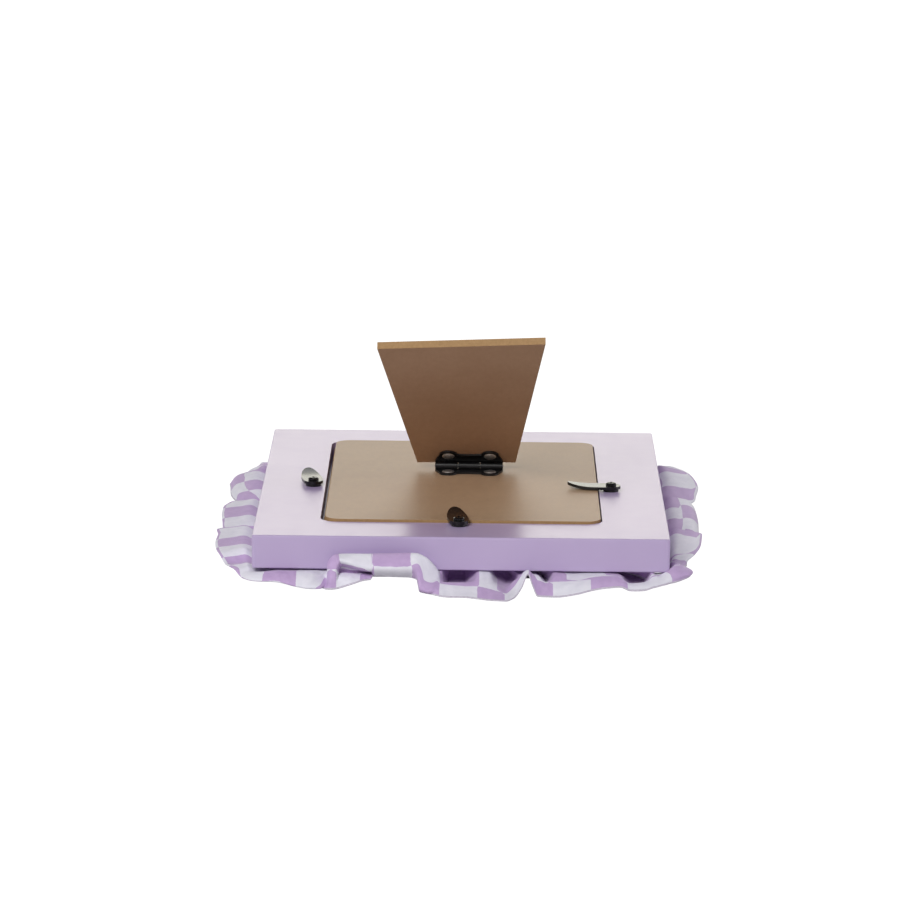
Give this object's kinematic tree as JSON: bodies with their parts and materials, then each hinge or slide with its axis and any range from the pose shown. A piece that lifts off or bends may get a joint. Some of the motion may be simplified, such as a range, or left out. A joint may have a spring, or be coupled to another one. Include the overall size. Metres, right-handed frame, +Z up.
{
  "type": "picture frame",
  "caption": "Tabletop picture frame with a gathered check ruffle round its edge, a rebated back held by turn buttons and a hinged easel strut.",
  "frame": {"origin": "middle of the frame's plan, on the table that its front face lies on", "axes": "+Z up from the table, out of the frame's back; +Y towards the frame's top edge; +X to the right as seen from the bottom edge with the back up"},
  "size_m": [0.2317, 0.2888, 0.1094],
  "materials": {
    "painted_board": "satin lilac paint on fibreboard",
    "check_cloth": "woven lilac and white check, single layer with a narrow hem",
    "clear_pane": "clear, polished",
    "print_paper": "plain coated paper",
    "corrugated_card": "brown kraft",
    "fibreboard": "smooth raw fibreboard with cut edges",
    "black_steel": "black coated steel",
    "plain_steel": "plated steel",
    "black_gloss_steel": "glossy black enamel on steel"
  },
  "bodies": {
    "frame": {"frame_body": "painted_board", "front_fascia": "painted_board", "ruffle": "check_cloth", "glazing_pane": "clear_pane", "photo_insert": "print_paper", "filler_card": "corrugated_card", "back_panel": "fibreboard", "hinge_panel_leaf": "black_steel", "hinge_pin": "plain_steel", "panel_rivet_left": "plain_steel", "panel_rivet_right": "plain_steel", "button_washer_right": "black_steel", "button_washer_top": "black_steel", "button_washer_left": "black_steel", "button_washer_bottom": "black_steel", "button_screw_right": "black_steel", "button_screw_top": "black_steel", "button_screw_left": "black_steel", "button_screw_bottom": "black_steel"},
    "easel_strut": {"strut": "fibreboard", "hinge_strut_leaf": "black_steel", "strut_rivet_left": "plain_steel", "strut_rivet_right": "plain_steel"},
    "right_button": {"turn_button_right": "black_gloss_steel"},
    "top_button": {"turn_button_top": "black_gloss_steel"},
    "left_button": {"turn_button_left": "black_gloss_steel"},
    "bottom_button": {"turn_button_bottom": "black_gloss_steel"}
  },
  "joints": [
    {"name": "strut_hinge", "type": "hinge", "parent": "frame", "child": "easel_strut", "pos_m": [0.0032, 0.0205, 0.02765], "axis": [1, 0, 0], "range_deg": [0, 36]},
    {"name": "right_button_turn", "type": "hinge", "parent": "frame", "child": "right_button", "pos_m": [0.0707, -0.0182, 0.0266], "axis": [0, 0, 1], "continuous": true},
    {"name": "top_button_turn", "type": "hinge", "parent": "frame", "child": "top_button", "pos_m": [0, 0.0962, 0.0266], "axis": [0, 0, 1], "continuous": true},
    {"name": "left_button_turn", "type": "hinge", "parent": "frame", "child": "left_button", "pos_m": [-0.0707, -0.0134, 0.0266], "axis": [0, 0, 1], "continuous": true},
    {"name": "bottom_button_turn", "type": "hinge", "parent": "frame", "child": "bottom_button", "pos_m": [-0.0011, -0.0962, 0.0266], "axis": [0, 0, 1], "continuous": true}
  ]
}
